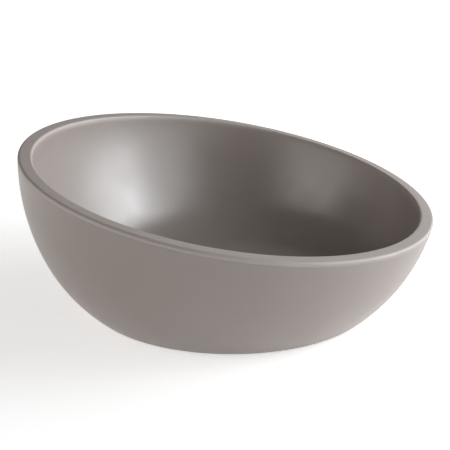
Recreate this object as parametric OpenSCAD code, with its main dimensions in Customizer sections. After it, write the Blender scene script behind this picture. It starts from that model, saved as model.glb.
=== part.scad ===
// Round serving bowl with a slanted rim, double walled and moulded in two melamine pieces.
// +Z is up. The origin is on the table, under the middle of the base. The rim is high at -X and low at +X.
// The wall follows a ball, so the slanted rim is a true circle about an axis through the ball's centre.

/* [Bowl form] */
// Diameter of the ball that the outer wall follows
bowl_d = 250; // [220:1:300]
// Height of the slice cut off the ball's bottom for the base
base_cut = 38; // [30:0.5:46]
// Radius of the curve that carries the wall on down to the base
foot_r = 96; // [85:1:125]
// Angle under the ball's widest line where that curve starts
blend_angle = 26; // [20:0.5:32]
// Rounding of the edge between the wall and the base
base_edge_r = 1.5; // [0.5:0.1:3]

/* [Slanted rim] */
// Tilt of the rim, in degrees
rim_tilt = 10; // [4:0.5:14]
// Distance of the rim under the ball's centre, square to the rim
rim_drop = 9.3; // [4:0.1:16]
// Rounding of the rim's two edges
rim_edge_r = 1.5; // [0.5:0.1:2]
// Thickness of the inner bowl's flange, which covers the shell's edge
flange_t = 2.6; // [2.2:0.1:5]

/* [Walls] */
// Wall of the outer shell
shell_wall = 3; // [2.2:0.1:4]
// Width of the air space between the two walls
wall_gap = 2.2; // [1:0.1:4]
// Wall of the inner bowl
inner_wall = 3; // [2:0.1:4]
// Thickness of the shell's base
base_t = 3.6; // [3:0.1:6]
// Height of the air space between the shell's base and the inner bowl
floor_gap = 5.4; // [4:0.1:8]
// Rounding inside the shell, between its wall and its base
shell_corner_r = 4; // [1:0.5:10]
// Rounding inside the inner bowl, between its wall and its floor
floor_r = 36; // [20:1:42]

/* [Rim bond] */
// Width of the rebate in the shell's edge that holds the adhesive
rebate_w = 1.4; // [0.8:0.1:1.8]
// Depth of that rebate
rebate_h = 3; // [1.5:0.1:5]
// Clearance beside the adhesive
bond_clear = 0.1; // [0.05:0.05:0.3]

/* [Floor bond] */
// Distance of the shell's support rib from the edge of the inner bowl's flat floor
rib_inset = 12; // [4:1:20]
// Width of the support rib and of the adhesive on it
rib_w = 5; // [3:0.5:8]
// Thickness of the adhesive on the rib
floor_bond_t = 1.2; // [0.5:0.1:2]

/* [Vent plug] */
// Diameter of the vent hole in the shell's base
vent_d = 5; // [3:0.5:8]
// Diameter of the plug's head
plug_head_d = 10; // [9.5:0.5:16]
// Thickness of the plug's head
plug_head_t = 1.4; // [0.8:0.1:1.8]
// How far the head lies inside the base
plug_recess = 0.3; // [0.1:0.1:0.6]
// How far the barb stands out beyond the vent hole
barb_lip = 0.6; // [0.3:0.1:1]
// Height of the barb
barb_h = 2.4; // [1.5:0.1:3.5]
// Clearance round the plug
plug_clear = 0.1; // [0.05:0.05:0.3]

/* [Non-slip ring] */
// Distance of the ring from the edge of the flat base
ring_inset = 9; // [4:0.5:20]
// Width of the ring
ring_w = 8; // [5:0.5:14]
// Thickness of the ring
ring_t = 2.6; // [2.2:0.1:4]
// Depth of the groove that holds the ring
groove_h = 1.6; // [1:0.1:2]
// Clearance on each side of the ring in its groove
ring_clear = 0.15; // [0.05:0.05:0.4]
// Chamfer along the ring's two lower edges
ring_chamfer = 0.5; // [0.2:0.1:0.8]

/* [Hidden] */
$fn = 180;
// Least straight face left beside a rounded rim edge
edge_land = 0.2;
// How far a cut runs past the surface that it opens
overrun = 1;
// How far the foot curve and the roundings stand past tangent, so that curves cross instead of grazing
blend_lap = 0.02;
curve_lap = 0.004;
bowl_r = bowl_d / 2;
rim_w = shell_wall + wall_gap + inner_wall;

// Heights above the table
base_z = ring_t - groove_h;
ball_z = base_z + bowl_r - base_cut;
base_top_z = base_z + base_t;
inner_under_z = base_top_z + floor_gap;
floor_z = inner_under_z + inner_wall;
rib_top_z = inner_under_z - floor_bond_t;

// Centre of the foot curve, on the ray from the ball's centre through the point where the two curves meet
blend_dir = [cos(blend_angle), -sin(blend_angle)];
foot_c = [0, ball_z] + (bowl_r - foot_r) * blend_dir;
foot_cut_r = foot_r + blend_lap;

// Where a rounding of radius r starts on a floor at height z, inside the wall moved in by inset
function corner_x(inset, z, r) = foot_c.x + sqrt(pow(foot_cut_r - inset - r, 2) - pow(z + r - foot_c.y, 2));

// Radius, about the tilted axis, of the ball moved in by inset, at a depth under the rim
function rim_radius(inset, depth) = sqrt(pow(bowl_r - inset, 2) - pow(rim_drop + depth, 2));

// Radius, about the tilted axis, of the centre of a rim rounding that lies at a distance from the ball's centre
function rim_fillet_r(distance) = sqrt(pow(distance, 2) - pow(rim_drop + rim_round, 2));

function unit(v) = v / norm(v);

rib_outer_r = corner_x(rim_w, floor_z, floor_r) - rib_inset;
ring_outer_r = corner_x(0, base_z, base_edge_r) - ring_inset;
rebate_r = rim_radius(shell_wall - rebate_w, flange_t);
wall_back_r = rim_radius(rim_w - inner_wall, flange_t);
vent_r = vent_d / 2;
counterbore_r = plug_head_d / 2 + plug_clear;
stem_r = vent_r - plug_clear;
rim_round = min(rim_edge_r, flange_t - edge_land, rim_w / 2 - edge_land);

// The corner outside a circle of radius r, between the directions from and to; it is cut off to round an edge
module round_corner(centre, r, from, to) {
    translate(centre)
    difference() {
        polygon([[0, 0], 2 * r * from, 2 * r * (from + to), 2 * r * to]);
        circle(r + curve_lap);
    }
}

// Half section of the bowl's form with its wall moved in by inset, flat at floor_at and rounded there
module bowl_section(inset, floor_at, corner_r) {
    corner = [corner_x(inset, floor_at, corner_r), floor_at + corner_r];
    difference() {
        translate([0, ball_z]) circle(bowl_r - inset);
        translate([-bowl_d, floor_at - bowl_d]) square([2 * bowl_d, bowl_d]);
        translate([-bowl_d, ball_z + bowl_r / 2]) square([2 * bowl_d, bowl_d]);
        translate([-bowl_d, 0]) square([bowl_d, 2 * bowl_d]);
        difference() {
            polygon([foot_c, foot_c + bowl_d * blend_dir, foot_c + [bowl_d, -bowl_d], foot_c + [0, -bowl_d]]);
            translate(foot_c) circle(foot_cut_r - inset);
        }
        round_corner(corner, corner_r, [0, -1], unit(corner - foot_c));
    }
}

// Places its children on the rim: height 0 in the rim's plane, about the tilted axis
module on_rim() {
    translate([0, 0, ball_z])
    rotate([0, rim_tilt, 0])
    translate([0, 0, -rim_drop])
    children();
}

// Everything above a depth under the rim
module above_rim(depth) {
    on_rim()
    translate([0, 0, -depth])
    cylinder(r = 2 * bowl_d, h = bowl_d);
}

// Ring with a rectangular section between two radii and two heights
module band(inner_r, outer_r, low, high) {
    rotate_extrude()
    translate([inner_r, low])
    square([outer_r - inner_r, high - low]);
}

// Slanted disc whose edge follows the ball: the blank of the flange, with the rounding of both rim edges
module flange_disc() {
    ball_c = [0, rim_drop];
    outer_edge = [rim_fillet_r(bowl_r - rim_round), -rim_round];
    inner_edge = [rim_fillet_r(bowl_r - rim_w + rim_round), -rim_round];
    on_rim()
    rotate_extrude()
    difference() {
        translate([0, -flange_t]) square([bowl_r, flange_t]);
        difference() {
            translate([0, -flange_t - overrun]) square([bowl_d, flange_t + 2 * overrun]);
            translate(ball_c) circle(bowl_r);
        }
        round_corner(outer_edge, rim_round, [0, 1], unit(outer_edge - ball_c));
        round_corner(inner_edge, rim_round, [0, 1], unit(ball_c - inner_edge));
    }
}

// Outer shell: base with ring groove, vent and support rib, and an edge rebated for the adhesive
module outer_shell() {
    color([0.52, 0.49, 0.46])
    difference() {
        rotate_extrude()
        difference() {
            bowl_section(0, base_z, base_edge_r);
            difference() {
                bowl_section(shell_wall, base_top_z, shell_corner_r);
                translate([rib_outer_r - rib_w, 0]) square([rib_w, rib_top_z]);
            }
        }
        above_rim(flange_t);
        on_rim() band(wall_back_r, rebate_r, -flange_t - rebate_h, overrun);
        band(ring_outer_r - ring_w - ring_clear, ring_outer_r + ring_clear, -overrun, ring_t);
        cylinder(r = vent_r, h = base_top_z + overrun);
        cylinder(r = counterbore_r, h = base_z + plug_recess + plug_head_t);
    }
}

// Inner bowl: the eating surface, with the flange that makes the rim
module inner_bowl() {
    color([0.58, 0.55, 0.52])
    difference() {
        union() {
            flange_disc();
            difference() {
                rotate_extrude() bowl_section(rim_w - inner_wall, inner_under_z, floor_r + inner_wall);
                above_rim(flange_t / 2);
            }
        }
        rotate_extrude() bowl_section(rim_w, floor_z, floor_r);
    }
}

// Adhesive that fills the shell's rebate under the flange
module rim_bond() {
    color([0.85, 0.83, 0.76])
    on_rim()
    band(wall_back_r + bond_clear, rebate_r - bond_clear, -flange_t - rebate_h, -flange_t);
}

// Adhesive between the shell's support rib and the inner bowl's floor
module floor_bond() {
    color([0.85, 0.83, 0.76])
    band(rib_outer_r - rib_w, rib_outer_r, rib_top_z, inner_under_z);
}

// Soft plug that closes the vent: flat head, stem and barb
module vent_plug() {
    head_low = base_z + plug_recess;
    head_top = head_low + plug_head_t;
    color([0.35, 0.33, 0.31])
    rotate_extrude()
    polygon([
        [0, head_low],
        [plug_head_d / 2, head_low],
        [plug_head_d / 2, head_top],
        [stem_r, head_top],
        [stem_r, base_top_z],
        [vent_r + barb_lip, base_top_z],
        [stem_r - barb_lip, base_top_z + barb_h],
        [0, base_top_z + barb_h]
    ]);
}

// Soft ring in the base's groove that the bowl stands on
module non_slip_ring() {
    ring_inner_r = ring_outer_r - ring_w;
    color([0.35, 0.33, 0.31])
    rotate_extrude()
    polygon([
        [ring_inner_r + ring_chamfer, 0],
        [ring_outer_r - ring_chamfer, 0],
        [ring_outer_r, ring_chamfer],
        [ring_outer_r, ring_t],
        [ring_inner_r, ring_t],
        [ring_inner_r, ring_chamfer]
    ]);
}

outer_shell();
inner_bowl();
rim_bond();
floor_bond();
vent_plug();
non_slip_ring();
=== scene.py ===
from math import acos, atan2, cos, pi, radians, sin, sqrt, tan

import bpy
from mathutils import Matrix, Vector


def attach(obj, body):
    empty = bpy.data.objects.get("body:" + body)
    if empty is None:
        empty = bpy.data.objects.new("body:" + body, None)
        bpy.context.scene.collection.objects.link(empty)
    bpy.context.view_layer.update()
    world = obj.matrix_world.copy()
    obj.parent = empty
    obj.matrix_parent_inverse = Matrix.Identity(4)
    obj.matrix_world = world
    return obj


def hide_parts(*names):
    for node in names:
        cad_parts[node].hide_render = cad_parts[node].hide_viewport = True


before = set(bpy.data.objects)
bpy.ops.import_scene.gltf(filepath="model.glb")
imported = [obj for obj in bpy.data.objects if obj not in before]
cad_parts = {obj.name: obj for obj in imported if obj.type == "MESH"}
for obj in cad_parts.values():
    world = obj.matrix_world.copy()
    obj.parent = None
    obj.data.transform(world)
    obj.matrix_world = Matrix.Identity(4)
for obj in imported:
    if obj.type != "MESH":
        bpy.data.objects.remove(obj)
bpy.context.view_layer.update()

# Outer shell: the matt outside wall and base of the bowl, compression moulded in one piece of taupe melamine.
# Its base has the vent, the groove for the soft ring and a round rib that carries the inner bowl.
# Its slanted top edge is rebated for the adhesive and meets the flange of the inner bowl at a hairline seam.
mm = 0.001
ball_z = 88.0
ball_r = 125.0
shell_wall = 3.0
foot_angle = 26.0
foot_r = 96.0
foot_x = (ball_r - foot_r) * cos(radians(foot_angle))
foot_z = ball_z - (ball_r - foot_r) * sin(radians(foot_angle))
rim_tilt = 10.0
rim_drop = 9.3
flange_t = 2.6
base_z = 1.0
base_top_z = 4.6
base_edge_r = 1.5
shell_corner_r = 4.0
rim_depth = rim_drop + flange_t
rebate_r = 122.82
rebate_h = 3.0
seam_r = 0.12
groove = (69.22, 77.52, 2.6)
rib = (53.68, 58.68, 8.8)
vent_r = 2.5
counterbore = (5.1, 2.7)


def level(points):
    """Level rings, about the upright axis, through points (radius, height)."""
    return [(r, 0.0, z, 0.0) for r, z in points]


def slanted(points, tilt=rim_tilt):
    """Slanted rings about the tilted axis through the ball's centre; points are (radius, depth under the centre)."""
    t = radians(tilt)
    return [(r, -sin(t) * d, ball_z - cos(t) * d, tilt) for r, d in points]


def arc(centre, r, start, stop, steps):
    """Points along an arc in the half section; angles in degrees, from the outward direction."""
    turns = [radians(start + (stop - start) * k / steps) for k in range(steps + 1)]
    return [(centre[0] + r * cos(a), centre[1] + r * sin(a)) for a in turns]


def softened(corners, steps=4):
    """A half section through corners (radius, height, rounding), with an arc at each corner that has a rounding."""
    points = []
    for k, (x, z, r) in enumerate(corners):
        if not r:
            points.append((x, z))
            continue
        here = Vector((x, z))
        back = (Vector(corners[k - 1][:2]) - here).normalized()
        ahead = (Vector(corners[(k + 1) % len(corners)][:2]) - here).normalized()
        half = acos(max(-1.0, min(1.0, back.dot(ahead)))) / 2
        centre = here + (back + ahead).normalized() * (r / sin(half))
        a = here + back * (r / tan(half)) - centre
        b = here + ahead * (r / tan(half)) - centre
        sweep = a.angle_signed(b)
        for s in range(steps + 1):
            turned = Matrix.Rotation(-sweep * s / steps, 2) @ a
            points.append((centre.x + turned.x, centre.y + turned.y))
    return points


def ball_wall(inset, top_depth, rings):
    """Rings down the ball moved in by inset, from the slanted rim to the level line where the foot curve starts."""
    r = ball_r - inset
    low_depth = r * sin(radians(foot_angle))
    wall = []
    for k in range(rings + 1):
        part = k / rings
        depth = top_depth + (low_depth - top_depth) * part
        wall += slanted([(sqrt(r * r - depth * depth), depth)], rim_tilt * (1 - part))
    return wall


def foot_curve(inset, corner_r, floor_z, foot_steps, corner_steps):
    """Level rings down the foot curve and round the corner onto a floor, ending at the flat of the floor."""
    r = foot_r - inset
    corner = (foot_x + sqrt((r - corner_r) ** 2 - (floor_z + corner_r - foot_z) ** 2), floor_z + corner_r)
    meet = 180 / pi * atan2(corner[1] - foot_z, corner[0] - foot_x)
    foot = arc((foot_x, foot_z), r, -foot_angle, meet, foot_steps)
    return level(foot[1:] + arc(corner, corner_r, meet, -90, corner_steps)[1:])


def loft(name, rings, segments=256, joined=False):
    """Draws the first ring, extrudes it from ring to ring and closes the form: end to start, or with end caps."""
    bpy.ops.object.select_all(action="DESELECT")
    r, x, z, tilt = rings[0]
    bpy.ops.mesh.primitive_circle_add(
        vertices=segments, radius=r * mm, location=(x * mm, 0, z * mm), rotation=(0, radians(tilt), 0)
    )
    piece = bpy.context.object
    piece.name = piece.data.name = name
    bpy.ops.object.transform_apply(location=True, rotation=True, scale=True)
    bpy.ops.object.mode_set(mode="EDIT")
    bpy.ops.mesh.select_mode(type="EDGE")
    bpy.ops.mesh.select_all(action="SELECT")
    if not joined:
        bpy.ops.mesh.edge_face_add()
    for r2, x2, z2, tilt2 in rings[1:]:
        move = ((x2 - x) * mm, 0, (z2 - z) * mm)
        centre = (x2 * mm, 0, z2 * mm)
        bpy.ops.mesh.extrude_edges_move(TRANSFORM_OT_translate={"value": move})
        bpy.ops.transform.resize(value=(r2 / r,) * 3, center_override=centre)
        if tilt2 != tilt:
            bpy.ops.transform.rotate(
                value=-radians(tilt2 - tilt), orient_axis="Y", orient_type="GLOBAL", center_override=centre
            )
        r, x, z, tilt = r2, x2, z2, tilt2
    if joined:
        bpy.ops.mesh.select_all(action="DESELECT")
        bpy.ops.mesh.select_non_manifold(extend=False, use_wire=False, use_multi_face=False, use_non_contiguous=False)
        bpy.ops.mesh.bridge_edge_loops()
    else:
        bpy.ops.mesh.edge_face_add()
    bpy.ops.mesh.select_all(action="SELECT")
    bpy.ops.mesh.normals_make_consistent(inside=False)
    bpy.ops.object.mode_set(mode="OBJECT")
    bpy.ops.object.shade_smooth_by_angle(angle=radians(28))
    return piece


def melamine(name, pale, dark, smooth, rough, grain, refraction):
    """Moulded melamine: faint clouds in the colour, uneven gloss and a fine moulded grain."""
    material = bpy.data.materials.new(name)
    material.use_nodes = True
    nodes, links = material.node_tree.nodes, material.node_tree.links
    shader = nodes["Principled BSDF"]
    shader.inputs["Specular IOR Level"].default_value = 1.0
    shader.inputs["IOR"].default_value = refraction
    place = nodes.new("ShaderNodeTexCoord")
    clouds = nodes.new("ShaderNodeTexNoise")
    clouds.inputs["Scale"].default_value = 26
    clouds.inputs["Detail"].default_value = 6
    clouds.inputs["Roughness"].default_value = 0.62
    tones = nodes.new("ShaderNodeValToRGB")
    tones.color_ramp.elements[0].position = 0.3
    tones.color_ramp.elements[0].color = (*dark, 1)
    tones.color_ramp.elements[1].position = 0.7
    tones.color_ramp.elements[1].color = (*pale, 1)
    patches = nodes.new("ShaderNodeTexNoise")
    patches.inputs["Scale"].default_value = 60
    patches.inputs["Detail"].default_value = 4
    gloss = nodes.new("ShaderNodeMapRange")
    gloss.inputs["From Min"].default_value = 0.3
    gloss.inputs["From Max"].default_value = 0.7
    gloss.inputs["To Min"].default_value = smooth
    gloss.inputs["To Max"].default_value = rough
    peel = nodes.new("ShaderNodeTexNoise")
    peel.inputs["Scale"].default_value = 1500
    peel.inputs["Detail"].default_value = 3
    relief = nodes.new("ShaderNodeBump")
    relief.inputs["Strength"].default_value = grain
    relief.inputs["Distance"].default_value = 0.00006
    for texture in (clouds, patches, peel):
        links.new(place.outputs["Object"], texture.inputs["Vector"])
    links.new(clouds.outputs["Fac"], tones.inputs["Fac"])
    links.new(tones.outputs["Color"], shader.inputs["Base Color"])
    links.new(patches.outputs["Fac"], gloss.inputs["Value"])
    links.new(gloss.outputs["Result"], shader.inputs["Roughness"])
    links.new(peel.outputs["Fac"], relief.inputs["Height"])
    links.new(relief.outputs["Normal"], shader.inputs["Normal"])
    return material


def finish(piece, material):
    """Gives a finished piece its material and its body."""
    piece.data.materials.clear()
    piece.data.materials.append(material)
    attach(piece, "root")


edge_out = sqrt(ball_r ** 2 - rim_depth ** 2)
rebate_in = sqrt((ball_r - shell_wall) ** 2 - (rim_depth + rebate_h) ** 2)
shell_edge = softened(
    [
        (sqrt(ball_r ** 2 - (rim_depth + 4) ** 2), rim_depth + 4, 0),
        (edge_out, rim_depth, seam_r),
        (rebate_r, rim_depth, seam_r),
        (rebate_r, rim_depth + rebate_h, 0),
        (rebate_in, rim_depth + rebate_h, 0),
    ]
)[1:]
underside = softened(
    [
        (vent_r, base_top_z - 0.4, 0),
        (vent_r, counterbore[1], 0),
        (counterbore[0], counterbore[1], 0),
        (counterbore[0], base_z, 0.3),
        (groove[0], base_z, 0.4),
        (groove[0], groove[2], 0),
        (groove[1], groove[2], 0),
        (groove[1], base_z, 0.4),
        (85.0, base_z, 0),
    ]
)
inside_base = softened(
    [
        (rib[1] + 1, base_top_z, 0),
        (rib[1], base_top_z, 0.5),
        (rib[1], rib[2], 0.2),
        (rib[0], rib[2], 0.2),
        (rib[0], base_top_z, 0.5),
        (vent_r + 0.3, base_top_z, 0),
    ]
)
outside = foot_curve(0, base_edge_r, base_z, 22, 6)
shell_rings = (
    level(underside)
    + outside[::-1]
    + ball_wall(0, rim_depth + 0.6, 30)[::-1]
    + slanted(shell_edge)
    + ball_wall(shell_wall, rim_depth + rebate_h, 24)[1:]
    + foot_curve(shell_wall, shell_corner_r, base_top_z, 18, 6)
    + level(inside_base)
)
shell = loft("outer_shell_moulding", shell_rings, joined=True)
shell_melamine = melamine("shell_melamine_matt", (0.394, 0.333, 0.302), (0.37, 0.309, 0.278), 0.36, 0.42, 0.1, 1.5)
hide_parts("outer_shell")
finish(shell, shell_melamine)

# Adhesive: a cured resin bead in the rebate under the flange and a wide ring of it on the support rib.
# Both are laid wet before the two walls are pressed together, and nothing of them shows on the finished bowl.
resin = bpy.data.materials.new("cured_resin")
resin.use_nodes = True
resin_nodes, resin_links = resin.node_tree.nodes, resin.node_tree.links
resin_shader = resin_nodes["Principled BSDF"]
resin_place = resin_nodes.new("ShaderNodeTexCoord")
resin_cloud = resin_nodes.new("ShaderNodeTexNoise")
resin_cloud.inputs["Scale"].default_value = 140
resin_cloud.inputs["Detail"].default_value = 5
resin_tones = resin_nodes.new("ShaderNodeValToRGB")
resin_tones.color_ramp.elements[0].position = 0.35
resin_tones.color_ramp.elements[0].color = (0.62, 0.57, 0.45, 1)
resin_tones.color_ramp.elements[1].position = 0.65
resin_tones.color_ramp.elements[1].color = (0.74, 0.70, 0.60, 1)
resin_relief = resin_nodes.new("ShaderNodeBump")
resin_relief.inputs["Strength"].default_value = 0.3
resin_relief.inputs["Distance"].default_value = 0.0002
resin_shader.inputs["Roughness"].default_value = 0.35
resin_links.new(resin_place.outputs["Object"], resin_cloud.inputs["Vector"])
resin_links.new(resin_cloud.outputs["Fac"], resin_tones.inputs["Fac"])
resin_links.new(resin_tones.outputs["Color"], resin_shader.inputs["Base Color"])
resin_links.new(resin_cloud.outputs["Fac"], resin_relief.inputs["Height"])
resin_links.new(resin_relief.outputs["Normal"], resin_shader.inputs["Normal"])
for bead in ("rim_bond", "floor_bond"):
    for bead_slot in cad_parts[bead].material_slots:
        bead_slot.material = resin

# Inner bowl: the satin inside of the bowl and its flat slanted rim, moulded in one piece of the same melamine.
# Its flange lies on the shell's edge and makes the whole rim, rounded on both edges and left matt where it was trimmed.
# The top of the rim is also painted paler, a painted highlight for the light that falls on it from above.
rim_w = 8.2
inner_wall = 3.0
rim_round = 1.5
floor_z = 13.0
floor_r = 36.0
under_z = 10.0


def rim_arc(distance, start, stop, steps=8):
    """Points (radius, depth) round a rim edge whose rounding is centred at a distance from the ball's centre."""
    depth = rim_drop + rim_round
    centre = (sqrt(distance ** 2 - depth ** 2), -depth)
    return [(r, -z) for r, z in arc(centre, rim_round, start, stop, steps)]


inner_r = ball_r - rim_w
depth_round = rim_drop + rim_round
outer_lean = 180 / pi * atan2(-depth_round, sqrt((ball_r - rim_round) ** 2 - depth_round ** 2))
inner_lean = 180 + 180 / pi * atan2(-depth_round, sqrt((inner_r + rim_round) ** 2 - depth_round ** 2))
inner_edge = rim_arc(inner_r + rim_round, inner_lean, 90)
outer_edge = rim_arc(ball_r - rim_round, 90, outer_lean)
wall_back = ball_r - rim_w + inner_wall
flange_under = softened(
    [
        (outer_edge[-1][0], outer_edge[-1][1], 0),
        (edge_out, rim_depth, seam_r),
        (sqrt(wall_back ** 2 - rim_depth ** 2), rim_depth, 0),
    ]
)[1:]
rim_flat = [(inner_edge[-1][0] + 0.4, rim_drop), (outer_edge[0][0] - 0.4, rim_drop)]
bowl_rings = (
    level([(3.0, floor_z), (30.0, floor_z), (66.0, floor_z), (70.0, floor_z)])
    + foot_curve(rim_w, floor_r, floor_z, 10, 28)[::-1]
    + ball_wall(rim_w, inner_edge[0][1], 36)[::-1]
    + slanted(inner_edge[1:] + rim_flat + outer_edge)
    + slanted(flange_under)
    + ball_wall(rim_w - inner_wall, rim_depth, 24)[1:]
    + foot_curve(rim_w - inner_wall, floor_r + inner_wall, under_z, 8, 20)
    + level([(66.0, under_z), (30.0, under_z), (3.0, under_z)])
)
bowl = loft("inner_bowl_moulding", bowl_rings)
bowl_melamine = melamine("bowl_melamine_satin", (0.348, 0.298, 0.274), (0.324, 0.276, 0.252), 0.33, 0.39, 0.1, 1.8)
bowl_nodes, bowl_links = bowl_melamine.node_tree.nodes, bowl_melamine.node_tree.links
rim_axis = Vector((sin(radians(rim_tilt)), 0, cos(radians(rim_tilt))))
rim_level = ball_z * rim_axis.z - rim_drop
# The rim mask makes the top of the rim matt and also paints it paler: the paler colour is a painted highlight, not the
# melamine's own tone.
satin_below, matt_above = 3.6, 1.4
matt_extra = 0.26
rim_painted_highlight = (0.415, 0.356, 0.328, 1)
rim_height = bowl_nodes.new("ShaderNodeVectorMath")
rim_height.operation = "DOT_PRODUCT"
rim_height.inputs[1].default_value = rim_axis
rim_matt_and_painted_highlight = bowl_nodes.new("ShaderNodeMapRange")
rim_matt_and_painted_highlight.inputs["From Min"].default_value = (rim_level - satin_below) * mm
rim_matt_and_painted_highlight.inputs["From Max"].default_value = (rim_level - matt_above) * mm
rim_rough = bowl_nodes.new("ShaderNodeMath")
rim_rough.operation = "MULTIPLY_ADD"
rim_rough.inputs[1].default_value = matt_extra
rim_painted_highlight_mix = bowl_nodes.new("ShaderNodeMixRGB")
rim_painted_highlight_mix.inputs["Color2"].default_value = rim_painted_highlight
bowl_links.new(bowl_nodes["Texture Coordinate"].outputs["Object"], rim_height.inputs[0])
bowl_links.new(rim_height.outputs["Value"], rim_matt_and_painted_highlight.inputs["Value"])
bowl_links.new(rim_matt_and_painted_highlight.outputs["Result"], rim_rough.inputs[0])
bowl_links.new(bowl_nodes["Map Range"].outputs["Result"], rim_rough.inputs[2])
bowl_links.new(rim_rough.outputs["Value"], bowl_nodes["Principled BSDF"].inputs["Roughness"])
# Painted highlight: the rim mask mixes the base colour towards the paler rim colour, standing in for light from above.
bowl_links.new(rim_matt_and_painted_highlight.outputs["Result"], rim_painted_highlight_mix.inputs["Fac"])
bowl_links.new(bowl_nodes["Color Ramp"].outputs["Color"], rim_painted_highlight_mix.inputs["Color1"])
bowl_links.new(rim_painted_highlight_mix.outputs["Color"], bowl_nodes["Principled BSDF"].inputs["Base Color"])
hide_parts("inner_bowl")
finish(bowl, bowl_melamine)

# Vent plug: a soft silicone plug pushed into the vent from below once the walls are bonded.
# Its flat head lies just inside the base, with a shallow dimple where the punch sat, and its barb holds it above.
head_r, head_low, head_top = 5.0, 1.3, 2.7
dimple_floor_r, dimple_r, dimple_z = 2.4, 3.0, 1.62
stem_r = 2.4
barb_r, barb_tip_r, barb_tip_z = 3.1, 1.8, 7.0
cap_r = 0.4
plug_points = softened(
    [
        (cap_r, dimple_z, 0),
        (dimple_floor_r, dimple_z, 0.4),
        (dimple_r, head_low, 0.4),
        (head_r, head_low, 0.35),
        (head_r, head_top, 0.1),
        (stem_r, head_top, 0),
        (stem_r, base_top_z, 0),
        (barb_r, base_top_z, 0.15),
        (barb_tip_r, barb_tip_z, 0.4),
        (cap_r, barb_tip_z, 0),
    ]
)
plug = loft("vent_plug_moulding", level(plug_points), segments=96)

silicone = bpy.data.materials.new("dark_silicone")
silicone.use_nodes = True
silicone_nodes, silicone_links = silicone.node_tree.nodes, silicone.node_tree.links
silicone_shader = silicone_nodes["Principled BSDF"]
silicone_place = silicone_nodes.new("ShaderNodeTexCoord")
dust = silicone_nodes.new("ShaderNodeTexNoise")
dust.inputs["Scale"].default_value = 420
dust.inputs["Detail"].default_value = 6
dust_tones = silicone_nodes.new("ShaderNodeValToRGB")
dust_tones.color_ramp.elements[0].position = 0.35
dust_tones.color_ramp.elements[0].color = (0.105, 0.097, 0.089, 1)
dust_tones.color_ramp.elements[1].position = 0.75
dust_tones.color_ramp.elements[1].color = (0.14, 0.13, 0.12, 1)
sheen = silicone_nodes.new("ShaderNodeMapRange")
sheen.inputs["To Min"].default_value = 0.55
sheen.inputs["To Max"].default_value = 0.75
skin = silicone_nodes.new("ShaderNodeBump")
skin.inputs["Strength"].default_value = 0.3
skin.inputs["Distance"].default_value = 0.00008
silicone_links.new(silicone_place.outputs["Object"], dust.inputs["Vector"])
silicone_links.new(dust.outputs["Fac"], dust_tones.inputs["Fac"])
silicone_links.new(dust_tones.outputs["Color"], silicone_shader.inputs["Base Color"])
silicone_links.new(dust.outputs["Fac"], sheen.inputs["Value"])
silicone_links.new(sheen.outputs["Result"], silicone_shader.inputs["Roughness"])
silicone_links.new(dust.outputs["Fac"], skin.inputs["Height"])
silicone_links.new(skin.outputs["Normal"], silicone_shader.inputs["Normal"])
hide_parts("vent_plug")
finish(plug, silicone)

# Non-slip ring: a soft silicone ring pressed into the groove of the base, on which the bowl stands.
# Two shallow grooves run round its resting face, so that it grips a wet table.
ring_in, ring_out, ring_t = 69.37, 77.37, 2.6
grip_w, grip_h = 1.0, 0.35
ring_corners = [(ring_in, ring_t, 0.1), (ring_in, 0.5, 0.2), (ring_in + 0.5, 0.0, 0.2)]
for grip in (ring_in + 2.7, ring_out - 2.7):
    ring_corners += [
        (grip - grip_w / 2, 0.0, 0.1),
        (grip - grip_w / 2, grip_h, 0.1),
        (grip + grip_w / 2, grip_h, 0.1),
        (grip + grip_w / 2, 0.0, 0.1),
    ]
ring_corners += [(ring_out - 0.5, 0.0, 0.2), (ring_out, 0.5, 0.2), (ring_out, ring_t, 0.1)]
ring = loft("non_slip_ring_moulding", level(softened(ring_corners)), joined=True)
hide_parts("non_slip_ring")
finish(ring, silicone)

# Floor: the pale paper-covered table top that the bowl stands on.
# It keeps a soft shadow near the bowl and fades to the white of the room further off.
bpy.ops.object.select_all(action="DESELECT")
bpy.ops.mesh.primitive_plane_add(size=12, location=(0, 0, -0.0003))
table = bpy.context.object
table.name = table.data.name = "pale_floor"
paper = bpy.data.materials.new("pale_floor_paper")
paper.use_nodes = True
paper_nodes, paper_links = paper.node_tree.nodes, paper.node_tree.links
paper_shader = paper_nodes["Principled BSDF"]
paper_shader.inputs["Base Color"].default_value = (0.92, 0.92, 0.92, 1)
paper_shader.inputs["Roughness"].default_value = 0.9
paper_shader.inputs["Specular IOR Level"].default_value = 0.1
paper_shader.inputs["Emission Color"].default_value = (1, 1, 1, 1)
paper_path = paper_nodes.new("ShaderNodeLightPath")
paper_seen = paper_nodes.new("ShaderNodeMath")
paper_seen.operation = "MAXIMUM"
paper_clear = paper_nodes.new("ShaderNodeMath")
paper_clear.operation = "MAXIMUM"
paper_place = paper_nodes.new("ShaderNodeTexCoord")
paper_reach = paper_nodes.new("ShaderNodeVectorMath")
paper_reach.operation = "LENGTH"
paper_fade = paper_nodes.new("ShaderNodeMapRange")
paper_fade.inputs["From Min"].default_value = 0.25
paper_fade.inputs["From Max"].default_value = 1.4
paper_fade.inputs["To Min"].default_value = 0.58
paper_fade.inputs["To Max"].default_value = 1.0
paper_lift = paper_nodes.new("ShaderNodeMath")
paper_lift.operation = "MULTIPLY"
paper_links.new(paper_path.outputs["Is Camera Ray"], paper_seen.inputs[0])
paper_links.new(paper_path.outputs["Is Glossy Ray"], paper_seen.inputs[1])
paper_links.new(paper_seen.outputs["Value"], paper_clear.inputs[0])
paper_links.new(paper_path.outputs["Is Transmission Ray"], paper_clear.inputs[1])
paper_links.new(paper_place.outputs["Object"], paper_reach.inputs[0])
paper_links.new(paper_reach.outputs["Value"], paper_fade.inputs["Value"])
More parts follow.
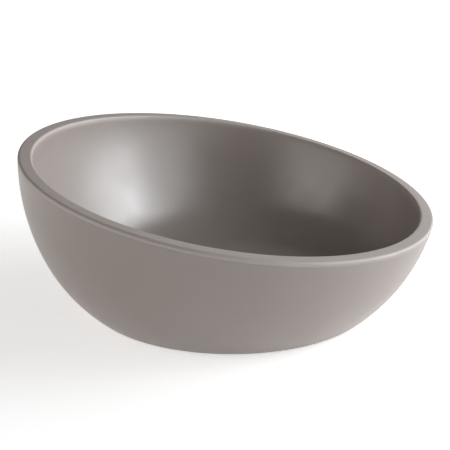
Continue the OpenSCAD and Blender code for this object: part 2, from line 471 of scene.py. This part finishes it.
paper_links.new(paper_clear.outputs["Value"], paper_lift.inputs[0])
paper_links.new(paper_fade.outputs["Result"], paper_lift.inputs[1])
paper_links.new(paper_lift.outputs["Value"], paper_shader.inputs["Emission Strength"])
table.data.materials.append(paper)

# Light: three wide soft panels and a small bright one on the right, two weaker ones on the left and one behind.
# The room is dim, so that the satin inside keeps its dark part, and looks white where it is seen directly.
world = bpy.data.worlds.new("white_room")
bpy.context.scene.world = world
world.use_nodes = True
world_nodes, world_links = world.node_tree.nodes, world.node_tree.links
room = world_nodes["Background"]
room.inputs["Color"].default_value = (1, 1, 1, 1)
room_path = world_nodes.new("ShaderNodeLightPath")
room_seen = world_nodes.new("ShaderNodeMath")
room_seen.operation = "MAXIMUM"
room_level = world_nodes.new("ShaderNodeMapRange")
room_level.inputs["To Min"].default_value = 0.04
room_level.inputs["To Max"].default_value = 1.0
room_gloss = world_nodes.new("ShaderNodeMath")
room_gloss.operation = "MULTIPLY_ADD"
room_gloss.inputs[1].default_value = 0.06
world_links.new(room_path.outputs["Is Camera Ray"], room_seen.inputs[0])
world_links.new(room_path.outputs["Is Transmission Ray"], room_seen.inputs[1])
world_links.new(room_seen.outputs["Value"], room_level.inputs["Value"])
world_links.new(room_path.outputs["Is Glossy Ray"], room_gloss.inputs[0])
world_links.new(room_level.outputs["Result"], room_gloss.inputs[2])
world_links.new(room_gloss.outputs["Value"], room.inputs["Strength"])


def light_panel(name, turn, distance, across, up, brightness, tint):
    """An upright lit panel that faces the bowl: its angle round the bowl from +X, its distance and its two extents."""
    out = Vector((cos(radians(turn)), sin(radians(turn)), 0))
    side = Vector((-out.y, out.x, 0))
    middle = out * distance + side * sum(across) / 2 + Vector((0, 0, sum(up) / 2))
    bpy.ops.object.light_add(type="AREA", location=middle)
    lamp = bpy.context.object
    lamp.name = lamp.data.name = name
    lamp.rotation_euler = out.to_track_quat("Z", "Y").to_euler()
    lamp.visible_camera = False
    lamp.data.shape = "RECTANGLE"
    lamp.data.size, lamp.data.size_y = across[1] - across[0], up[1] - up[0]
    lamp.data.energy = pi * lamp.data.size * lamp.data.size_y * brightness
    lamp.data.color = tint


cool, warm = (0.975, 1.0, 1.02), (1.0, 0.955, 0.9)
light_panel("right_panel", 25, 1.2, (-0.6, 1.1), (0.02, 1.6), 2.65, cool)
light_panel("front_right_panel", 25, 1.2, (-2.35, -0.6), (0.02, 1.6), 1.1, cool)
light_panel("right_low_panel", 25, 1.19, (-0.6, 1.1), (0.02, 0.4), 1.3, cool)
light_panel("key_panel", 22, 1.15, (-0.3, 0.15), (0.45, 0.9), 3.2, cool)
light_panel("left_panel", 232, 1.3, (-0.55, 0.55), (0.02, 1.0), 1.25, warm)
light_panel("left_low_panel", 195, 1.3, (-0.7, 0.7), (0.02, 0.5), 1.15, warm)
light_panel("back_panel", 90, 1.3, (-0.5, 0.5), (0.02, 0.8), 1.4, warm)

# Camera: a long lens at the photograph's viewing angle, a little above the rim and turned towards its low side.
# Its place and its lens come from a fit of the bowl's outline, so their numbers are not round.
azimuth, elevation = radians(23.7326), radians(17.5152)
view_back = Vector((sin(azimuth) * cos(elevation), -cos(azimuth) * cos(elevation), sin(elevation)))
view_right = Vector((cos(azimuth), sin(azimuth), 0))
view_up = view_back.cross(view_right)
look_height, look_left = 0.046711, 0.003523
view_distance = 0.57093
target = Vector((0, 0, look_height)) - look_left * view_right
bpy.ops.object.select_all(action="DESELECT")
bpy.ops.object.camera_add(location=target + view_distance * view_back)
camera = bpy.context.object
camera.name = "photo_camera"
camera.rotation_euler = Matrix((view_right, view_up, view_back)).transposed().to_euler()
camera.data.sensor_width = 36
camera.data.lens = 74.498
bpy.context.scene.camera = camera
bpy.context.scene.view_settings.view_transform = "Standard"
